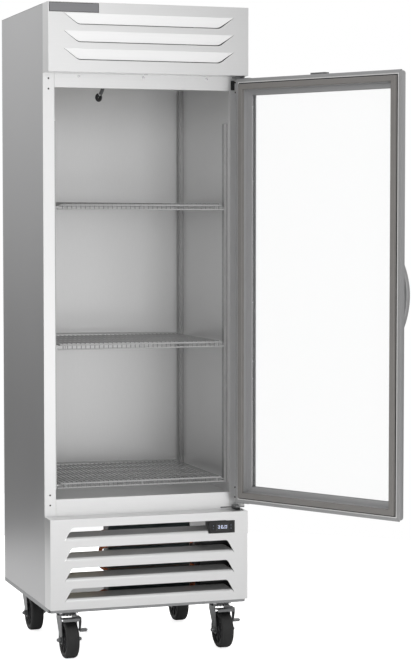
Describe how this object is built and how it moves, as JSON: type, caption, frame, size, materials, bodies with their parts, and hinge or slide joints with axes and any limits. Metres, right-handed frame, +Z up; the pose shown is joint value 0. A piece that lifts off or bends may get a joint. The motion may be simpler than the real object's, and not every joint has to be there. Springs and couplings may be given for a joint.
{
  "type": "reach-in refrigerator",
  "caption": "Upright one-section reach-in refrigerator with a hinged glass door, wire shelves, louvered panels above and below, and swivel casters with brakes.",
  "frame": {"origin": "bottom centre of the box around the whole object at rest, on the floor, with the door standing open as at rest", "axes": "+Z up, +Y from the door opening to the back of the cabinet, +X to the right seen from the front"},
  "size_m": [1.0722, 1.2382, 2.174],
  "materials": {
    "painted_steel": "satin painted steel sheet",
    "bright_steel": "bright finely brushed steel",
    "galvanised": "dull galvanised sheet",
    "foam": "rigid foam",
    "liner": "satin liner sheet",
    "aluminium": "satin anodised extrusion",
    "glass": "clear",
    "rubber": "matt",
    "zinc": "zinc plated steel",
    "tyre": "matt black tread",
    "wire": "coated wire",
    "black_plastic": "black moulded",
    "black_enamel": "black enamel",
    "coil": "fins on copper tube"
  },
  "bodies": {
    "cabinet": {"back_panel": "galvanised", "base_pan": "galvanised", "bottom_hinge_bracket": "zinc", "compressor": "black_enamel", "condenser_coil": "coil", "condenser_fan_shroud": "galvanised", "controller_body": "black_plastic", "evaporator_coil": "coil", "evaporator_housing": "galvanised", "header_strip": "bright_steel", "inner_liner": "liner", "insulation_foam": "foam", "left_front_caster_plate": "zinc", "left_front_pilaster": "bright_steel", "left_jamb": "bright_steel", "left_rear_caster_plate": "zinc", "left_rear_pilaster": "bright_steel", "left_side_panel": "painted_steel", "lower_louver_panel": "bright_steel", "right_front_caster_plate": "zinc", "right_front_pilaster": "bright_steel", "right_jamb": "bright_steel", "right_rear_caster_plate": "zinc", "right_rear_pilaster": "bright_steel", "right_side_panel": "painted_steel", "sill_strip": "bright_steel", "top_hinge_bracket": "zinc", "top_panel": "galvanised", "upper_louver_panel": "bright_steel"},
    "door": {"door_bottom_rail": "aluminium", "door_gasket": "rubber", "door_handle": "aluminium", "door_hinge_arm_bottom": "zinc", "door_hinge_arm_top": "zinc", "door_hinge_stile": "aluminium", "door_inner_glass": "glass", "door_latch_stile": "aluminium", "door_lock_strike": "zinc", "door_outer_glass": "glass", "door_top_rail": "aluminium"},
    "left_front_fork": {"left_front_caster_fork": "zinc"},
    "left_front_wheel": {"left_front_caster_wheel": "tyre"},
    "left_front_brake": {"left_front_brake_pedal": "zinc"},
    "right_front_fork": {"right_front_caster_fork": "zinc"},
    "right_front_wheel": {"right_front_caster_wheel": "tyre"},
    "right_front_brake": {"right_front_brake_pedal": "zinc"},
    "left_rear_fork": {"left_rear_caster_fork": "zinc"},
    "left_rear_wheel": {"left_rear_caster_wheel": "tyre"},
    "right_rear_fork": {"right_rear_caster_fork": "zinc"},
    "right_rear_wheel": {"right_rear_caster_wheel": "tyre"},
    "top_shelf": {"top_shelf": "wire"},
    "middle_shelf": {"middle_shelf": "wire"},
    "bottom_shelf": {"bottom_shelf": "wire"},
    "condenser_fan": {"condenser_fan": "black_plastic"},
    "evaporator_fan": {"evaporator_fan": "black_plastic"},
    "controller_button_1": {"controller_button_1": "black_plastic"},
    "controller_button_2": {"controller_button_2": "black_plastic"},
    "controller_button_3": {"controller_button_3": "black_plastic"},
    "controller_button_4": {"controller_button_4": "black_plastic"},
    "lock_bolt": {"lock_bolt": "zinc"}
  },
  "joints": [
    {"name": "door_swing", "type": "hinge", "parent": "cabinet", "child": "door", "pos_m": [0.14688, -0.01992, 1.2], "axis": [0, 0, 1], "range_deg": [-120.4, 9.6]},
    {"name": "left_front_swivel", "type": "hinge", "parent": "cabinet", "child": "left_front_fork", "pos_m": [-0.46112, 0.02208, 0.1483], "axis": [0, 0, 1], "continuous": true},
    {"name": "left_front_roll", "type": "hinge", "parent": "left_front_fork", "child": "left_front_wheel", "pos_m": [-0.46112, -0.01292, 0.0625], "axis": [1, 0, 0], "continuous": true},
    {"name": "left_front_brake_press", "type": "hinge", "parent": "left_front_fork", "child": "left_front_brake", "pos_m": [-0.46112, 0.02208, 0.091], "axis": [1, 0, 0], "range_deg": [0, 14]},
    {"name": "right_front_swivel", "type": "hinge", "parent": "cabinet", "child": "right_front_fork", "pos_m": [0.08088, 0.02208, 0.1483], "axis": [0, 0, 1], "continuous": true},
    {"name": "right_front_roll", "type": "hinge", "parent": "right_front_fork", "child": "right_front_wheel", "pos_m": [0.08088, -0.01292, 0.0625], "axis": [1, 0, 0], "continuous": true},
    {"name": "right_front_brake_press", "type": "hinge", "parent": "right_front_fork", "child": "right_front_brake", "pos_m": [0.08088, 0.02208, 0.091], "axis": [1, 0, 0], "range_deg": [0, 14]},
    {"name": "left_rear_swivel", "type": "hinge", "parent": "cabinet", "child": "left_rear_fork", "pos_m": [-0.46112, 0.51808, 0.1483], "axis": [0, 0, 1], "continuous": true},
    {"name": "left_rear_roll", "type": "hinge", "parent": "left_rear_fork", "child": "left_rear_wheel", "pos_m": [-0.46112, 0.48308, 0.0625], "axis": [1, 0, 0], "continuous": true},
    {"name": "right_rear_swivel", "type": "hinge", "parent": "cabinet", "child": "right_rear_fork", "pos_m": [0.08088, 0.51808, 0.1483], "axis": [0, 0, 1], "continuous": true},
    {"name": "right_rear_roll", "type": "hinge", "parent": "right_rear_fork", "child": "right_rear_wheel", "pos_m": [0.08088, 0.48308, 0.0625], "axis": [1, 0, 0], "continuous": true},
    {"name": "top_shelf_lift", "type": "slide", "parent": "cabinet", "child": "top_shelf", "axis": [0, 0, 1], "range_m": [0, 0.012]},
    {"name": "middle_shelf_lift", "type": "slide", "parent": "cabinet", "child": "middle_shelf", "axis": [0, 0, 1], "range_m": [0, 0.012]},
    {"name": "bottom_shelf_lift", "type": "slide", "parent": "cabinet", "child": "bottom_shelf", "axis": [0, 0, 1], "range_m": [0, 0.012]},
    {"name": "condenser_fan_spin", "type": "hinge", "parent": "cabinet", "child": "condenser_fan", "pos_m": [-0.17012, 0.10608, 0.29655], "axis": [0, 1, 0], "continuous": true},
    {"name": "evaporator_fan_spin", "type": "hinge", "parent": "cabinet", "child": "evaporator_fan", "pos_m": [-0.19012, 0.17708, 2.03], "axis": [0, 0, 1], "continuous": true},
    {"name": "controller_button_1_press", "type": "slide", "parent": "cabinet", "child": "controller_button_1", "axis": [0, 1, 0], "range_m": [0, 0.0008], "stiffness_N_per_m": 300},
    {"name": "controller_button_2_press", "type": "slide", "parent": "cabinet", "child": "controller_button_2", "axis": [0, 1, 0], "range_m": [0, 0.0008], "stiffness_N_per_m": 300},
    {"name": "controller_button_3_press", "type": "slide", "parent": "cabinet", "child": "controller_button_3", "axis": [0, 1, 0], "range_m": [0, 0.0008], "stiffness_N_per_m": 300},
    {"name": "controller_button_4_press", "type": "slide", "parent": "cabinet", "child": "controller_button_4", "axis": [0, 1, 0], "range_m": [0, 0.0008], "stiffness_N_per_m": 300},
    {"name": "lock_bolt_throw", "type": "slide", "parent": "cabinet", "child": "lock_bolt", "axis": [0, 0, -1], "range_m": [0, 0.006]}
  ]
}
